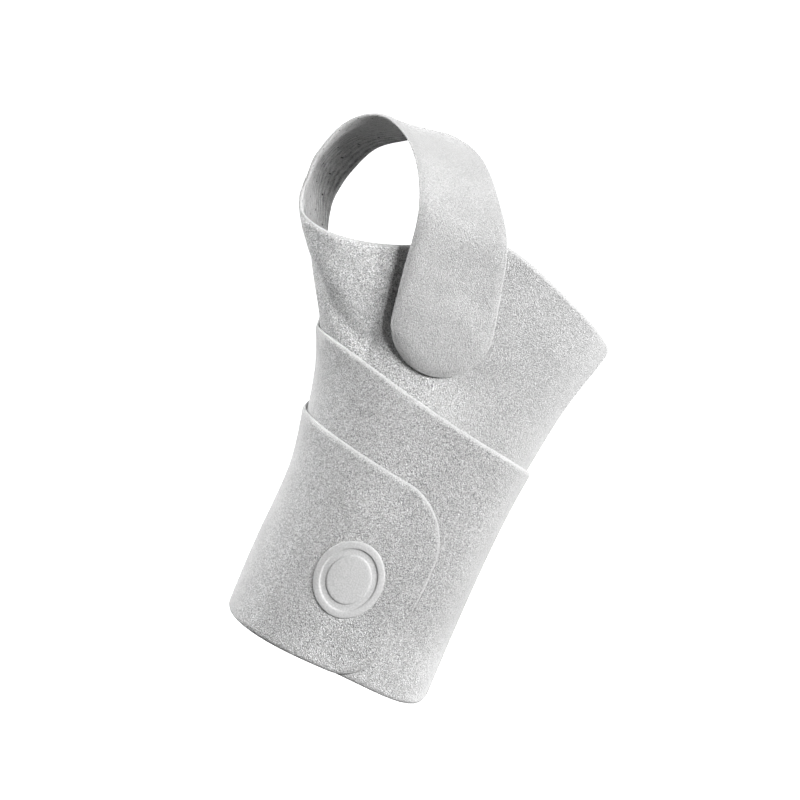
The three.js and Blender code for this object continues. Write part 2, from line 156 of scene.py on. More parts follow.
# height, shift x, shift y, half width, half depth, squareness left and right, thumb back
SECTIONS = Chart([PANEL_HEIGHT, WRIST_HALF_WIDTH, WRIST_HALF_DEPTH, WRIST_HALF_WIDTH,
                  WRIST_HALF_DEPTH, 1, 1, 1], [
    [-0.06, 0.01, 0.0, 1.0, 1.0, 2.3, 2.6, 0],
    [0.19, 0.01, 0.0, 1.0, 1.0, 2.3, 2.6, 0],
    [0.36, 0.025, 0.005, 1.01, 1.01, 2.3, 2.5, 0],
    [0.47, -0.005, 0.025, 1.08, 1.03, 2.3, 2.4, 0],
    [0.575, -0.035, 0.055, 1.175, 1.075, 2.3, 2.3, 0.2],
    [0.65, -0.085, 0.095, 1.28, 1.135, 2.4, 2.2, 0.6],
    [0.73, -0.155, 0.15, 1.44, 1.205, 2.6, 2.2, 1.2],
    [0.81, -0.245, 0.185, 1.635, 1.25, 2.8, 2.2, 1.5],
    [0.86, -0.31, 0.21, 1.735, 1.275, 3.0, 2.2, 1.5],
    [0.925, -0.34, 0.215, 1.76, 1.28, 3.0, 2.2, 1.4],
    [1.075, -0.31, 0.215, 1.75, 1.28, 3.0, 2.2, 1.4],
])

UPPER_EDGE = Chart([1, PANEL_HEIGHT], [
    [-60, 0.864], [-45, 0.865], [-25, 0.894], [-14, 0.925], [-3, 0.967], [9, 0.994],
    [20, 0.985], [32, 0.956], [52, 0.901], [66, 0.865], [90, 0.822], [120, 0.79],
    [150, 0.756], [180, 0.725], [210, 0.694], [240, 0.666], [270, 0.647], [300, 0.654],
    [323, 0.648], [351, 0.62], [388, 0.583], [424, 0.544], [450, 0.519], [495, 0.5],
    [560, 0.481], [630, 0.47], [665, 0.472], [696, 0.461], [724, 0.444],
])

START_EDGE = Chart([PANEL_HEIGHT, 1], [
    [0, -117], [0.625, -118], [0.69, -120], [0.74, -122.6], [0.78, -126], [0.81, -129.8],
    [0.86, -135.5], [0.91, -140],
])

LOWER_EDGE = Chart([1, LOWER_DIP], [
    [-134, 0.17], [0, 0.17], [40, -0.23], [75, -0.69], [120, -0.17], [180, 0.06], [345, 0.0],
    [383, -0.29], [411, -0.89], [435, -1.0], [470, -0.46], [540, 0.0], [724, 0.0],
])

# x, y, z of the strap's middle, then heading and tilt of the way across it, and its width
STRAP_STATIONS = np.array([
    [-1.91, 0.56, 0.958, 67, -17, 0.975],
    [-1.763, 0.428, 1.036, 67, -21, 1.01],
    [-1.522, 0.208, 1.084, 66.5, -21.5, 1.0],
    [-1.178, -0.17, 1.118, 58, -7, 0.92],
    [-0.864, -0.6, 1.11, 45, 0, 0.93],
    [-0.606, -1.023, 1.065, 30, 2.5, 0.9],
    [-0.414, -1.315, 1.004, 12, 6, 0.93],
    [-0.322, -1.269, 0.923, 8, 6, 0.985],
    [-0.227, -1.192, 0.798, 6, 9, 1.0],
    [-0.131, -1.06, 0.6775, 0, 9.5, 1.0],
]) * [WRIST_HALF_WIDTH, WRIST_HALF_DEPTH, PANEL_HEIGHT, 1, 1, STRAP_WIDTH]


def degrees_of(length):
    return length / (math.radians(1) * (WRIST_HALF_WIDTH + 3 * TURN_STEP))


FILLET_END_ANGLE = THUMB_EDGE_ANGLE + FILLET_ANGLE
THUMB_EDGE_HEIGHT = float(UPPER_EDGE(FILLET_END_ANGLE)[0]) + FILLET_HEIGHT
TAB_HEIGHT = float(UPPER_EDGE(TAB_CORNER_ANGLE)[0])
TAB_HOOK_ANGLE = TAB_END_ANGLE - degrees_of(TAB_HOOK_INSET + TAB_HOOK_WIDTH / 2)
TAB_HOOK_HALF_ANGLE = degrees_of(TAB_HOOK_WIDTH / 2)
BADGE_ANGLE = TAB_HOOK_ANGLE - degrees_of(TAB_HOOK_WIDTH / 5)
BADGE_MIDDLE = TAB_HEIGHT * 0.46


def points(x, y, z):
    return np.stack(np.broadcast_arrays(x, y, z), axis=-1).astype(float)


def unit(vectors):
    return vectors / np.linalg.norm(vectors, axis=-1, keepdims=True)


def form_point(angle, height):
    """Inside face of the first turn, before any winding."""
    shift_x, shift_y, wide, deep, left, right, thumb_back = SECTIONS(height)
    sine, cosine = np.sin(np.radians(angle)), np.cos(np.radians(angle))
    turned = np.maximum(0.0, np.cos(np.radians(angle - THUMB_BACK_ANGLE)))
    square = (left + right) / 2 + (right - left) / 2 * sine + thumb_back * turned ** 2
    reach = (np.abs(sine) ** square + np.abs(cosine) ** square) ** (-1 / square)
    return points(shift_x + wide * reach * sine, shift_y - deep * reach * cosine, height)


def form_normal(angle, height):
    around = form_point(angle + 0.5, height) - form_point(angle - 0.5, height)
    up = form_point(angle, height + 0.5) - form_point(angle, height - 0.5)
    return unit(np.cross(around, up))


# Soft folds of the hand panel: from and to as wrap angle and height, then depth and half width
FOLDS = [
    ((-92, 133), (-64, 120), -0.9, 4.0),
    ((-64, 120), (-34, 108), -0.8, 4.0),
    ((-74, 143), (-44, 125), 0.5, 5.0),
    ((-82, 139), (-50, 134.5), -0.35, 2.2),
    ((-44, 133), (-30, 114), -0.3, 4.0),
    ((-98, 152), (-70, 134), -0.9, 9.0),
]


def folds(angle, height):
    """How far the soft folds raise the first turn, where no later turn covers it."""
    raised = np.zeros_like(angle)
    place = np.stack([angle * FOLD_SCALE, height], axis=-1)
    for start, end, depth, half_width in FOLDS:
        start, end = (np.array(spot) * [FOLD_SCALE, 1] for spot in (start, end))
        way = end - start
        share = np.clip(((place - start) @ way) / (way @ way), 0, 1)
        away = np.linalg.norm(place - start - share[..., None] * way, axis=-1)
        raised += depth * np.exp(-(away / half_width) ** 2)
    covered = UPPER_EDGE(angle + 360)[0]
    return raised * smooth(height, covered + 1.0, covered + 7.0) * (angle < 60)


def plateau(distance, half, ramp):
    return 1.0 - smooth(np.abs(distance), half, half + ramp)


def sheet_offset(angle, height):
    angle, height = np.broadcast_arrays(angle, height)
    wound = TURN_STEP * (angle - START_ANGLE) / 360 + HALF_SHEET
    over_hook = (plateau(angle - TAB_HOOK_ANGLE, TAB_HOOK_HALF_ANGLE + 1, 9)
                 * plateau(height - TAB_HEIGHT / 2, TAB_HOOK_HEIGHT / 2 + 1, 11))
    return wound + HOOK_RAISE * over_hook + folds(angle, height)


def sheet_point(angle, height, raised=0.0):
    angle, height = np.asarray(angle, float), np.asarray(height, float)
    offset = sheet_offset(angle, height) + raised
    return form_point(angle, height) + form_normal(angle, height) * offset[..., None]


def sheet_normal(angle, height):
    around = sheet_point(angle + 0.5, height) - sheet_point(angle - 0.5, height)
    up = sheet_point(angle, height + 0.5) - sheet_point(angle, height - 0.5)
    return unit(np.cross(around, up))


def corner_drop(share, fullness):
    return (1 - np.clip(share, 0, 1) ** fullness) ** (1 / fullness)


def top_of(angle):
    rounded = (FILLET_END_ANGLE - angle) / FILLET_ANGLE
    thumb_side = THUMB_EDGE_HEIGHT - FILLET_HEIGHT * corner_drop(rounded, 2)
    ending = (angle - TAB_CORNER_ANGLE) / (TAB_END_ANGLE - TAB_CORNER_ANGLE)
    tab = TAB_END_TOP + (TAB_HEIGHT - TAB_END_TOP) * corner_drop(ending, 1.8)
    top = np.where(angle < FILLET_END_ANGLE, thumb_side, UPPER_EDGE(angle)[0])
    return np.where(angle > TAB_CORNER_ANGLE, tab, top)


def bottom_of(angle):
    ending = (angle - TAB_CORNER_ANGLE) / (TAB_END_ANGLE - TAB_CORNER_ANGLE)
    tab = TAB_END_BOTTOM * (1 - corner_drop(ending, 2.2))
    return np.where(angle > TAB_CORNER_ANGLE, tab, LOWER_EDGE(angle)[0])


def root_angle(share, height):
    return blend(START_EDGE(height)[0], THUMB_EDGE_ANGLE, share)


def root_top(share):
    return THUMB_EDGE_HEIGHT - STRAP_ROOT_DROP * (1 - share)


def on_root(share, height):
    return sheet_point(root_angle(share, height), height)


def lay_strap():
    """The strap's stations as points on its edges, with the distance along it of each one."""
    before = on_root(0.5, root_top(0.5))
    along, rows = 0.0, []
    for x, y, z, heading, tilt, width in STRAP_STATIONS:
        middle = np.array([x, y, z])
        along += float(np.linalg.norm(middle - before))
        before = middle
        heading, tilt = math.radians(heading), math.radians(tilt)
        across = np.array([math.cos(tilt) * math.cos(heading),
                           math.cos(tilt) * math.sin(heading), math.sin(tilt)]) * width / 2
        rolled_in = 0.06 * plateau(along - 78.0, 25.0, 20.0)
        rows.append([along, *(middle - across), *(middle + across * (1 - rolled_in))])
    return Chart([1] * 7, rows)


STRAP_COURSE = lay_strap()
STRAP_LENGTH = float(STRAP_COURSE.at[-1])
STRAP_DISC_START = STRAP_LENGTH - STRAP_END_RADIUS
_hook_edges = STRAP_COURSE(STRAP_DISC_START + 0.15 * STRAP_END_RADIUS)
STRAP_HOOK_X = float(_hook_edges[0] + _hook_edges[3]) / 2
STRAP_HOOK_Z = float(_hook_edges[2] + _hook_edges[5]) / 2


def panel_depth(x, z):
    """How far back the outer face of the hand panel lies at a place in front of it."""
    low, high = np.full_like(x, -85.0), np.full_like(x, 85.0)
    for _ in range(18):
        middle = (low + high) / 2
        is_left = sheet_point(middle, z, HALF_SHEET)[..., 0] < x
        low, high = np.where(is_left, middle, low), np.where(is_left, high, middle)
    return sheet_point((low + high) / 2, z, HALF_SHEET)[..., 1]


def press_on_panel(spots, share):
    """Keeps the strap's end a small gap in front of the panel, its near edge standing off."""
    off = np.hypot(spots[..., 0] - STRAP_HOOK_X, spots[..., 2] - STRAP_HOOK_Z)
    left = (STRAP_HOOK_X - spots[..., 0]) / STRAP_WIDTH
    above = (spots[..., 2] - STRAP_HOOK_Z) / STRAP_WIDTH
    lift = (STRAP_LIFT * np.clip((left + 0.25) / 0.75, 0, 1) ** 1.5
            * smooth(above, -0.56, -0.1) * (0.55 + 0.45 * smooth(above, -0.1, 0.9)))
    pressed = (HOOK_RAISE + 0.1) * plateau(off, STRAP_HOOK_RADIUS + 0.5, 6.5)
    room = LAYER_GAP + 0.1 + pressed + lift
    over = spots[..., 1] - (panel_depth(spots[..., 0], spots[..., 2]) - room - HALF_SHEET)
    spots[..., 1] -= (over + np.hypot(over, 0.5)) / 2 * smooth(share, 0.62, 0.71)


def strap_edge(along, is_near):
    """One edge of the strap: out of the sheet in a smooth bend, then past every station."""
    pick = slice(0, 3) if is_near else slice(3, 6)
    side = np.full_like(along, 1.0 if is_near else 0.0)
    free = np.moveaxis(STRAP_COURSE(along)[pick], 0, -1)
    first, root = STRAP_COURSE.at[0], root_top(side)
    slope = on_root(side, root + 0.5) - on_root(side, root - 0.5)
    end, end_slope = STRAP_COURSE.values[0, pick], STRAP_COURSE.slopes[0, pick]
    rooted = cubic(on_root(side, root), slope * first, end, end_slope * first,
                   (along / first)[..., None])
    return np.where((along >= first)[..., None], free, rooted)


def root_bow(across, rise):
    """How far the sheet bows out of a straight line across it, at a height over the root."""
    none = np.zeros_like(across)
    spots = on_root(across, root_top(across) + rise)
    far, near = (on_root(none + side, root_top(none + side) + rise) for side in (0.0, 1.0))
    return spots - blend(far, near, across[..., None])


def strap_point(along, across):
    """Middle of the strap at a distance along it and a share across it from far to near edge."""
    along, across = np.broadcast_arrays(np.asarray(along, float), np.asarray(across, float))
    spots = blend(strap_edge(along, False), strap_edge(along, True), across[..., None])
    slope = root_bow(across, 0.5) - root_bow(across, -0.5)
    share = np.clip(along / BOW_LENGTH, 0, 1)[..., None]
    spots = spots + cubic(root_bow(across, 0.0), slope * BOW_LENGTH, 0.0, 0.0, share)
    press_on_panel(spots, along / STRAP_LENGTH)
    return spots


def strap_normal(along, across):
    across, along = np.clip(across, 0.02, 0.98), np.maximum(along, 0.4)
    side = strap_point(along, across + 0.02) - strap_point(along, across - 0.02)
    ahead = strap_point(along + 0.4, across) - strap_point(along - 0.4, across)
    return unit(np.cross(side, ahead))


def strap_place(across, row):
    """Flat place of a corner of the strap: rectangular, then over a half disc at its end."""
    kind, value = row
    if kind == "along":
        return np.full_like(across, value), across

    def rim(turn):
        turn = np.radians(turn)
        return np.stack(np.broadcast_arrays(
            0.5 - np.cos(turn) / 2, STRAP_DISC_START + STRAP_END_RADIUS * np.sin(turn)))

    flat = np.stack([across, np.full_like(across, STRAP_DISC_START)])
    corners = [np.array([[0.0], [STRAP_DISC_START]]), np.array([[1.0], [STRAP_DISC_START]])]
    far, near, end = rim(45 * value), rim(180 - 45 * value), rim(45 + 90 * across)
    far, near = far[:, None], near[:, None]
    far_end, near_end = rim(45)[:, None], rim(135)[:, None]
    place = ((1 - value) * flat + value * end + (1 - across) * far + across * near
             - (1 - value) * ((1 - across) * corners[0] + across * corners[1])
             - value * ((1 - across) * far_end + across * near_end))
    return place[1], place[0]


def spread(length, count, is_open_end=False):
    """Distances from 0 to a length in a count of steps, the shorter ones at the cut ends."""
    tail = np.array([length]) if is_open_end else length - EDGE_STEPS[::-1]
    inner = count + 2 - len(EDGE_STEPS) - len(tail)
    middle = np.linspace(EDGE_STEPS[-1], tail[0], inner + 1)
    return np.concatenate([EDGE_STEPS[:-1], middle, tail[1:]])


class Sheet:
    """A cloth sheet from a patchwork of quads: places on its middle surface with their normals,
    their flat position, and which of them lie on the cut edge."""

    def __init__(self):
        self.middle, self.normal, self.flat, self.turn, self.quads = [], [], [], [], []

    def add(self, middle, normal, flat, turn):
        first = len(self.middle)
        self.middle.extend(middle)
        self.normal.extend(normal)
        self.flat.extend(flat)
        self.turn.extend(turn)
        return list(range(first, len(self.middle)))

    def add_grid(self, grid):
        for left, right in zip(grid, grid[1:]):
            for j in range(len(left) - 1):
                self.quads.append((left[j], right[j], right[j + 1], left[j + 1]))

    def borders(self):
        edges = {}
        for quad in self.quads:
            for a, b in zip(quad, quad[1:] + quad[:1]):
                if edges.pop((b, a), None) is None:
                    edges[(a, b)] = True
        return list(edges)


def distance_to(borders, middle, turn):
    """Distance of each place to the nearest point of the cut edge in the same turn."""
    def keyed(spots, turns):
        return np.column_stack([spots, turns * 0.1]).astype(np.float32)

    a, b = np.array(borders).T
    edge = np.concatenate([keyed(middle[a], turn[a]),
                           (keyed(middle[a], turn[a]) + keyed(middle[b], turn[b])) / 2])
    places = keyed(middle, turn)
    nearest = np.empty(len(places), np.float32)
    for first in range(0, len(places), 400):
        part = places[first:first + 400]
        gap = part[:, None, :] - edge[None, :, :]
        nearest[first:first + 400] = np.sqrt((gap ** 2).sum(-1).min(1))
    return nearest


def build_sheet():
    """The whole sheet: columns under the strap's root, then round to the tab, then the strap."""
    sheet = Sheet()
    width = STRAP_WIDTH
    share_count = round((width - 2 * EDGE_STEPS[-1]) / SHARE_STEP) + 2 * len(EDGE_STEPS) - 2
    shares = spread(width, share_count) / width
    fillet_turns = np.radians(np.linspace(0, 90, 16)[1:])
    fillet = THUMB_EDGE_ANGLE + FILLET_ANGLE * (1 - np.cos(fillet_turns))
    wound = np.arange(FILLET_END_ANGLE + TURN_STEP_ANGLE, TAB_CORNER_ANGLE - 1.0,
                      TURN_STEP_ANGLE)
    tab_turns = np.radians(np.concatenate([np.linspace(0, 66, 16), [70, 74, 78, 82, 86, 90]]))
    tab = TAB_CORNER_ANGLE + (TAB_END_ANGLE - TAB_CORNER_ANGLE) * np.sin(tab_turns)

    def add_column(heights, angles, across):
        flat = np.column_stack([np.full_like(heights, across), heights, np.zeros_like(heights)])
        return sheet.add(sheet_point(angles, heights), sheet_normal(angles, heights),
                         flat, angles)

    grid = []
    low = float(bottom_of(START_ANGLE))
    for share in shares:
        heights = low + spread(float(root_top(share)) - low, COLUMN_ROWS, is_open_end=True)
        angles = root_angle(np.full_like(heights, share), heights)
        grid.append(add_column(heights, angles, share * width))
    for angle in np.concatenate([fillet, wound, tab]):
        low, high = float(bottom_of(angle)), float(top_of(angle))
        heights = low + spread(high - low, COLUMN_ROWS)
        across = width + (angle - THUMB_EDGE_ANGLE) * FLAT_SCALE
        grid.append(add_column(heights, np.full_like(heights, angle), across))
    sheet.add_grid(grid)

    straight = [("along", a) for a in np.linspace(0, STRAP_DISC_START, STRAP_ROWS)[1:]]
    disc = [("end", share) for share in
            (0.1, 0.2, 0.3, 0.4, 0.5, 0.6, 0.7, 0.78, 0.85, 0.91, 0.955, 0.985, 1)]
    strap = [[grid[k][-1]] for k in range(len(shares))]
    for row in straight + disc:
        along, across = strap_place(shares, row)
        middle, normal = strap_point(along, across), strap_normal(along, across)
        turn = root_angle(across, np.full_like(across, 140.0))
        flat = np.column_stack([across * width, root_top(across) + along, np.ones_like(along)])
        for k, number in enumerate(sheet.add(middle, normal, flat, turn)):
            strap[k].append(number)
    sheet.add_grid(strap)
    return sheet


def edge_profile(distance, is_strap):
    """How far the outer and the inner face draw in towards the cut edge."""
    share = np.where(is_strap, 0.8, 1.0)
    width = np.where(is_strap, 2.4, 1.15)
    outer = 0.62 * share * (1 - smooth(distance, -0.5, width)) / (1 - smooth(0.0, -0.5, width))
    inner = 0.18 * (1 - smooth(distance, -0.3, 0.6)) / (1 - smooth(0.0, -0.3, 0.6))
    return outer, inner


def attribute(mesh, name, kind, values):
    layer = mesh.attributes.new(name, kind, "POINT")
    key = "vector" if kind == "FLOAT_VECTOR" else "value"
    layer.data.foreach_set(key, np.asarray(values, np.float32).ravel())


def painted_light_and_nap(middle, turn, flat):
    """How far painted light pales the outer face: all over the hand panel but for a painted shadow
    strip beside the strap's near edge, and on the later turns towards the thumb side and near
    their lower edge. Then how coarse the nap has become.
    """
    front = np.mod(turn + 180.0, 360.0) - 180.0
    is_strap = flat[:, 2] > 0.5
    is_panel = (turn < 180.0) & ~is_strap
    near_edge = strap_point(np.linspace(0.6, 1.0, 40) * STRAP_LENGTH, np.ones(40))
    order = np.argsort(near_edge[:, 2])
    beside = np.interp(middle[:, 2], near_edge[order, 2], near_edge[order, 0]) - middle[:, 0]
    # Painted light on the panel below the strap's hook, so that the painted shadow strip fades out
    # there.
    below = 0.6 * smooth(middle[:, 2], STRAP_HOOK_Z - 8.0, STRAP_HOOK_Z - 22.0)
    below *= smooth(front, 35.0, 5.0)
    # Painted light and shade: the panel paler all over but for a painted shadow about 5 mm wide
    # left of the strap's near edge; the later turns paler towards the thumb side and near their
    # lower edge, none round the back.
    painted_light_share = smooth(front, -150.0, -120.0) * np.where(
        is_panel, np.maximum(smooth(beside, 4.6, 5.8), below),
        0.2 * smooth(front, 25.0, -5.0) + 0.7 * smooth(front, -30.0, -65.0)
        + 0.4 * smooth(middle[:, 2], 30.0, 8.0) * smooth(front, -40.0, 0.0))
    coarse = np.where(is_panel & (front > 0), 0.5, 0.72)
    coarse *= 1 - 0.75 * smooth(np.abs(front), 40.0, 80.0)
    coarse = np.where(is_panel & (front < 0), 0.82, coarse)
    from_tip = (STRAP_LENGTH + root_top(0.5) - flat[:, 1]) / STRAP_LENGTH
    on_strap = 0.36 - 0.28 * smooth(from_tip, 0.3, 0.65)
    return np.where(is_strap, 0.0, painted_light_share), np.where(is_strap, on_strap, coarse)


def cloth_object(name, sheet, materials):
    """The sheet as a closed mesh: outer face, inner face, and a crowned wall round the cut."""
    middle, normal = np.array(sheet.middle), np.array(sheet.normal)
    flat, turn = np.array(sheet.flat), np.array(sheet.turn)
    borders = sheet.borders()
    distance = distance_to(borders, middle, turn)
    is_strap = flat[:, 2] > 0.5
    outer_in, inner_in = edge_profile(distance, is_strap)
    outer = middle + normal * (HALF_SHEET - outer_in)[:, None]
    inner = middle - normal * (HALF_SHEET - inner_in)[:, None]
    count = len(middle)
    rim = sorted({a for a, _ in borders})
    rim_number = {a: 2 * count + n for n, a in enumerate(rim)}
    after, before = dict(borders), {b: a for a, b in borders}
    ahead = middle[[after[a] for a in rim]] - middle[[before[a] for a in rim]]
    away = unit(np.cross(ahead, normal[rim]))
    wall = (outer[rim] + inner[rim]) / 2 + away * EDGE_CROWN
    verts = np.concatenate([outer, inner, wall]) / 1000.0
    faces, kinds = [], []
    for quad in sheet.quads:
        faces.append(quad)
        kinds.append(0)
        faces.append(tuple(count + v for v in reversed(quad)))
        kinds.append(1)
    for a, b in borders:
        faces.append((b, a, rim_number[a], rim_number[b]))
        faces.append((rim_number[b], rim_number[a], count + a, count + b))
        kinds += [2, 2]
    mesh = bpy.data.meshes.new(name)
    mesh.from_pydata([tuple(v) for v in verts], [], faces)
    for material in materials:
        mesh.materials.append(material)
    mesh.polygons.foreach_set("material_index", kinds)
    mesh.polygons.foreach_set("use_smooth", [True] * len(faces))
    attribute(mesh, "flat", "FLOAT_VECTOR", np.concatenate([flat, flat, flat[rim]]))
    # Painted light and shade, and how coarse the nap is, kept on every point for the cloth shader.
    for key, value in zip(("painted_light", "coarse"), painted_light_and_nap(middle, turn, flat)):
        attribute(mesh, key, "FLOAT", np.concatenate([value, value, value[rim]]))
    pressed = distance + np.where(is_strap, 0.7, 0.0)
    attribute(mesh, "edge", "FLOAT", np.concatenate([pressed, pressed, pressed[rim]]))
    mesh.update()
    made = bpy.data.objects.new(name, mesh)
    bpy.context.scene.collection.objects.link(made)
    return made


class Shade:
    """A shader socket that can be written with plain arithmetic."""

    tree = None

    def __init__(self, socket):
        self.socket = socket

    @classmethod
    def node(cls, kind, inputs=None, output=0, **settings):
        node = cls.tree.nodes.new(kind)
        for key, value in settings.items():
            setattr(node, key, value)
        for key, value in (inputs or {}).items():
            cls.feed(node.inputs[key], value)
        return Shade(node.outputs[output])

    @classmethod
    def feed(cls, socket, value):
        if isinstance(value, Shade):
            cls.tree.links.new(value.socket, socket)
        else:
            socket.default_value = value

    @classmethod
    def math(cls, operation, *values):
        return cls.node("ShaderNodeMath", dict(enumerate(values)), operation=operation)

    def __add__(self, other):
        return Shade.math("ADD", self, other)

    def __radd__(self, other):
        return Shade.math("ADD", other, self)

    def __sub__(self, other):
        return Shade.math("SUBTRACT", self, other)

    def __rsub__(self, other):
        return Shade.math("SUBTRACT", other, self)

    def __mul__(self, other):
        return Shade.math("MULTIPLY", self, other)

    def __rmul__(self, other):
        return Shade.math("MULTIPLY", other, self)

    def __truediv__(self, other):
        return Shade.math("DIVIDE", self, other)

    def fade(self, low, high):
        """0 below low and 1 above high, or the other way round where low is the larger."""
        if low > high:
            return 1.0 - self.fade(high, low)
        return Shade.node("ShaderNodeMapRange",
                          {0: self, 1: low, 2: high, 3: 0.0, 4: 1.0},
                          interpolation_type="SMOOTHSTEP")


def mix_colour(share, a, b):
    return Shade.node("ShaderNodeMix", {0: share, 6: a, 7: b}, output=2, data_type="RGBA")


def grey(level):
    return (level, level, level, 1.0)


def new_material(name, roughness, sheen=0.0):
    material = bpy.data.materials.new(name)
    material.use_nodes = True
    Shade.tree = material.node_tree
    shader = material.node_tree.nodes["Principled BSDF"]
    shader.inputs["Roughness"].default_value = roughness
    shader.inputs["Specular IOR Level"].default_value = 0.25
    shader.inputs["Sheen Weight"].default_value = sheen
    shader.inputs["Sheen Roughness"].default_value = 0.45
    return material, shader


def noise(place, scale, detail, roughness):
    return Shade.node("ShaderNodeTexNoise", {"Vector": place, "Scale": scale, "Detail": detail,
                                             "Roughness": roughness})


def in_object():
    return Shade.node("ShaderNodeTexCoord", output=3)


def attribute_value(name, output=2):
    return Shade.node("ShaderNodeAttribute", output=output, attribute_name=name)


def bump(height, strength, distance):
    return Shade.node("ShaderNodeBump", {"Strength": strength, "Distance": distance,
                                         "Height": height})


def nap_material():
    """Short brushed nap: fine speckle in colour and relief, coarser matting in patches. Painted
    light makes the grey paler where the mesh asks for it, with a painted shadow strip left darker
    beside the strap."""
    material, shader = new_material("nap_cloth", roughness=0.92, sheen=0.35)
    place = in_object()
    tips = Shade.node("ShaderNodeTexVoronoi", {"Vector": place, "Scale": 3700.0}, output=1)
    tips = Shade.node("ShaderNodeSeparateXYZ", {0: tips})
    fine = noise(place, 3400.0, 0.0, 0.5)
    tufts = noise(place, 1700.0, 1.0, 0.6)
    matted = noise(place, 95.0, 3.0, 0.6)
    edge, painted_light, coarse = (attribute_value(name) for name in ("edge", "painted_light", "coarse"))
    speckle = (tips - 0.5) * 1.5 + (fine.fade(0.3, 0.7) - 0.5) * 0.7
    # Painted light and shade: the grey is paled by the painted light attribute read above.
    level = (speckle * coarse * 0.95 + 1.0) * (painted_light * 0.28 + 0.42)
    level = level * (1.0 - matted.fade(0.42, 0.66) * 0.06)
    base = mix_colour(edge.fade(1.1, 0.2) * 0.7, level, grey(0.54))
    Shade.feed(shader.inputs["Base Color"], base)
    relief = (tips * 0.8 + fine * 0.8 + tufts * 0.2) * (coarse * 0.9 + 0.35) + matted * 0.8
    Shade.feed(shader.inputs["Normal"], bump(relief, 1.0, 0.0007))
    return material


# Knitted lining, millimetres
RIB_PITCH = 1.15
HOLE_SPACING = 4.2
HOLE_COLUMN = 7.5


def lining_material():
    """Smooth knitted lining with fine ribs along the sheet and small punched holes."""
    material, shader = new_material("lining", roughness=0.85, sheen=0.1)
    flat = attribute_value("flat", output=1)
    split = Shade.tree.nodes.new("ShaderNodeSeparateXYZ")
    Shade.feed(split.inputs[0], flat)
    across, up = Shade(split.outputs[0]), Shade(split.outputs[1])
    grain = noise(in_object(), 2600.0, 1.0, 0.6)
    streaks = Shade.node("ShaderNodeCombineXYZ", {0: across * 1.5, 1: up * 0.3, 2: 0.0})
    streaks = noise(streaks, 1.0, 2.0, 0.6)
    ribs = Shade.math("SINE", across * (2 * math.pi / RIB_PITCH)) * 0.5 + 0.5
    row = up / HOLE_SPACING
    odd = Shade.math("MODULO", Shade.math("FLOOR", row), 2.0)
    column = across / HOLE_COLUMN + odd * 0.5
    off_across = (Shade.math("FRACT", column) - 0.5) * HOLE_COLUMN
    off_up = (Shade.math("FRACT", row) - 0.5) * HOLE_SPACING
    hole = Shade.math("SQRT", off_across * off_across + off_up * off_up).fade(0.4, 0.22)
    tone = ribs * 0.3 + grain.fade(0.3, 0.7) * 0.35 + streaks.fade(0.3, 0.7) * 0.35
    base = mix_colour(tone, grey(0.16), grey(0.68))
    base = mix_colour(hole, base, grey(0.05))
    Shade.feed(shader.inputs["Base Color"], base)
    relief = ribs * 0.4 + streaks + grain * 0.7 - hole
    Shade.feed(shader.inputs["Normal"], bump(relief, 0.9, 0.0006))
    return material


def cut_material():
    """Pale cut edge of the laminate, with a few loose fibres."""
    material, shader = new_material("cut_edge", roughness=0.9, sheen=0.15)
    place = in_object()
    fibres = noise(place, 1300.0, 3.0, 0.7)
    shade = mix_colour(fibres.fade(0.3, 0.7), grey(0.42), grey(0.50))
    Shade.feed(shader.inputs["Base Color"], shade)
    Shade.feed(shader.inputs["Normal"], bump(fibres, 0.7, 0.0004))
    return material


def badge_material():
    """Matt moulded patch, barely grained."""
    material, shader = new_material("moulded_badge", roughness=0.6)
    grain = noise(in_object(), 1800.0, 2.0, 0.6)
    shade = mix_colour(grain.fade(0.35, 0.65), grey(0.37), grey(0.45))
    Shade.feed(shader.inputs["Base Color"], shade)
    Shade.feed(shader.inputs["Normal"], bump(grain, 0.4, 0.0003))
    return material


def hook_material():
    """Hook tape, a plain field of small hooks."""
    material, shader = new_material("hook_tape", roughness=0.8)
    place = in_object()
    hooks = Shade.node("ShaderNodeTexVoronoi", {"Vector": place, "Scale": 900.0})
    shade = mix_colour(hooks.fade(0.1, 0.6), grey(0.2), grey(0.34))
    Shade.feed(shader.inputs["Base Color"], shade)
    Shade.feed(shader.inputs["Normal"], bump(hooks, 0.8, 0.0004))
    return material


def floor_material():
    material, shader = new_material("studio_floor", roughness=1.0)
    shader.inputs["Base Color"].default_value = grey(0.93)
    shader.inputs["Specular IOR Level"].default_value = 0.0
    shader.inputs["Emission Color"].default_value = grey(1.0)
    shader.inputs["Emission Strength"].default_value = 1.0
    return material


# Badge: share of its radius against height over the tab, flat-topped with steep sides
BADGE_RELIEF = [
    (0.02, 0.50), (0.30, 0.50), (0.55, 0.50), (0.60, 0.47), (0.625, 0.36), (0.635, 0.12),
    (0.65, 0.06), (0.72, 0.06), (0.78, 0.06), (0.795, 0.12), (0.805, 0.44), (0.83, 0.56),
    (0.87, 0.58), (0.93, 0.56), (0.97, 0.50), (0.99, 0.38), (1.0, 0.0), (1.0, -0.3),
]


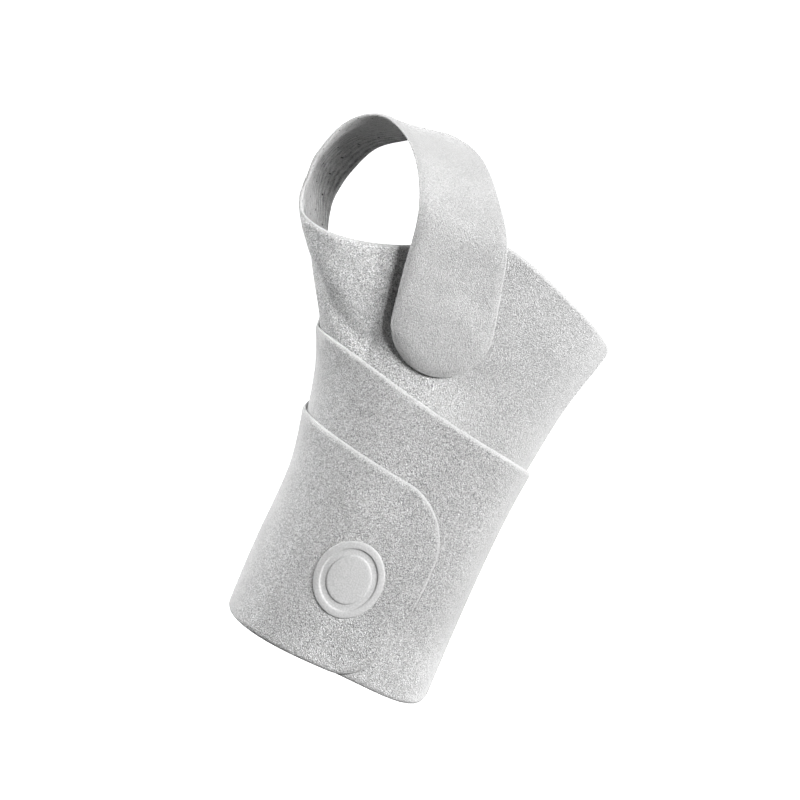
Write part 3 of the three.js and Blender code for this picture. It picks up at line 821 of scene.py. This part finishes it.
def build_badge(material):
    """Raised oval with a rim round a plain raised middle, lying on the tab."""
    turns = np.linspace(0, 2 * np.pi, 128, endpoint=False)
    count = len(turns)

    def ring(share, raised):
        up = BADGE_HEIGHT / 2 * share * np.sin(turns)
        side = BADGE_WIDTH / 2 * share * np.cos(turns)
        return sheet_point(BADGE_ANGLE + degrees_of(side), BADGE_MIDDLE + up, HALF_SHEET + raised)

    verts = np.concatenate([ring(share, raised) for share, raised in BADGE_RELIEF]) / 1000.0
    faces = [tuple(range(count))]
    for first in range(0, count * (len(BADGE_RELIEF) - 1), count):
        for n in range(count):
            after = (n + 1) % count
            faces.append((first + n, first + count + n, first + count + after, first + after))
    faces.append(tuple(count * len(BADGE_RELIEF) - 1 - n for n in range(count)))
    mesh = bpy.data.meshes.new("badge_relief")
    mesh.from_pydata([tuple(v) for v in verts], [], faces)
    mesh.polygons.foreach_set("use_smooth", [True] * len(faces))
    mesh.materials.append(material)
    mesh.update()
    made = bpy.data.objects.new("badge_relief", mesh)
    bpy.context.scene.collection.objects.link(made)
    return made


# Soft boxes round the brace: the way to each from its middle, then width in metres and watts
LIGHTS = [
    ("key", (0.60, -0.55, 0.56), 0.20, 19.0),
    ("front", (0.36, -0.72, 0.56), 0.24, 18.5),
    ("left_rim", (-0.95, 0.28, 0.25), 0.50, 26.0),
    ("left_fill", (-0.88, -0.06, -0.46), 0.50, 25.0),
    ("right_rim", (0.80, 0.60, 0.30), 0.50, 10.0),
    ("low_fill", (0.30, -0.66, -0.68), 0.50, 4.0),
]


def add_light(name, way, size, power):
    data = bpy.data.lights.new(name, "AREA")
    data.shape = "SQUARE"
    data.size = size
    data.energy = power
    light = bpy.data.objects.new(name, data)
    way = Vector(way).normalized()
    light.location = Vector(BRACE_MIDDLE) + way * LIGHT_DISTANCE
    light.rotation_euler = way.to_track_quat("Z", "Y").to_euler()
    bpy.context.scene.collection.objects.link(light)


def add_studio():
    """Plain pale floor, a little even light, and the soft boxes."""
    mesh = bpy.data.meshes.new("studio_floor")
    side, low = FLOOR_HALF_SIDE, FLOOR_HEIGHT
    mesh.from_pydata([(-side, -side, low), (side, -side, low), (side, side, low),
                      (-side, side, low)], [], [(0, 1, 2, 3)])
    mesh.materials.append(floor_material())
    floor = bpy.data.objects.new("studio_floor", mesh)
    bpy.context.scene.collection.objects.link(floor)
    floor.visible_diffuse = False
    world = bpy.data.worlds.new("studio_world")
    world.use_nodes = True
    background = world.node_tree.nodes["Background"]
    background.inputs["Color"].default_value = grey(1.0)
    background.inputs["Strength"].default_value = WORLD_STRENGTH
    bpy.context.scene.world = world
    for name, way, size, power in LIGHTS:
        add_light(name, way, size, power)
    bpy.context.scene.view_settings.view_transform = "Standard"
    bpy.context.scene.view_settings.look = "None"


def add_camera():
    """A long lens from far off, looking down a little and turned about its own line of sight."""
    data = bpy.data.cameras.new("camera")
    data.lens = CAMERA_LENS
    data.sensor_width = SENSOR_WIDTH
    data.clip_end = 50.0
    camera = bpy.data.objects.new("camera", data)
    tilt, roll = math.radians(CAMERA_TILT), math.radians(CAMERA_ROLL)
    up = Vector((0.0, math.sin(tilt), math.cos(tilt)))
    right = Vector((1.0, 0.0, 0.0))
    back = Vector((0.0, -math.cos(tilt), math.sin(tilt)))
    turned_right = right * math.cos(roll) + up * math.sin(roll)
    turned_up = up * math.cos(roll) - right * math.sin(roll)
    distance = CAMERA_LENS / SENSOR_WIDTH * FRAME_PIXELS / PIXELS_PER_METRE
    turn = Matrix((turned_right, turned_up, back)).transposed()
    camera.matrix_world = Matrix.Translation(Vector(CAMERA_AIM) + back * distance) @ turn.to_4x4()
    bpy.context.scene.collection.objects.link(camera)
    bpy.context.scene.camera = camera


add_camera()
add_studio()

brace = cloth_object("brace_sheet", build_sheet(),
                     [nap_material(), lining_material(), cut_material()])
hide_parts("hand_wrap", "wrist_strap")
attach(brace, "root")

badge = build_badge(badge_material())
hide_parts("badge")
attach(badge, "root")

hook_tape = hook_material()
for node in ("tab_hook_patch", "thumb_hook_patch"):
    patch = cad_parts[node]
    patch.data.materials.clear()
    patch.data.materials.append(hook_tape)
